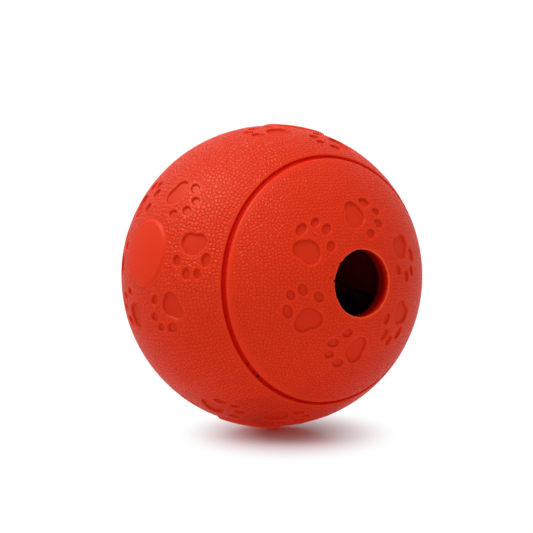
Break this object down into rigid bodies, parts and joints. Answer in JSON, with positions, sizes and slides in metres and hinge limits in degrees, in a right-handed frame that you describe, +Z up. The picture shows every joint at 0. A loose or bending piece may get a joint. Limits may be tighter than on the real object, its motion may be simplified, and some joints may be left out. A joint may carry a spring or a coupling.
{
  "type": "treat dispensing ball",
  "caption": "Hollow rubber treat ball for pets, with a round dispensing hole in a bonded cap, raised round pads, recessed paw prints and a flat inner wall that slows the treats.",
  "frame": {"origin": "centre of the ball", "axes": "+Z up as the ball lies in the picture, with the dispensing hole looking along -Y and +X to the right of it"},
  "size_m": [0.0758, 0.0745, 0.0758],
  "materials": {
    "body_rubber": "moulded pebble grain, matt",
    "cap_rubber": "moulded pebble grain, matt",
    "inner_rubber": "plain moulded, matt"
  },
  "bodies": {
    "root": {"body_shell": "body_rubber", "hole_cap": "cap_rubber", "divider_wall": "inner_rubber"}
  },
  "joints": []
}
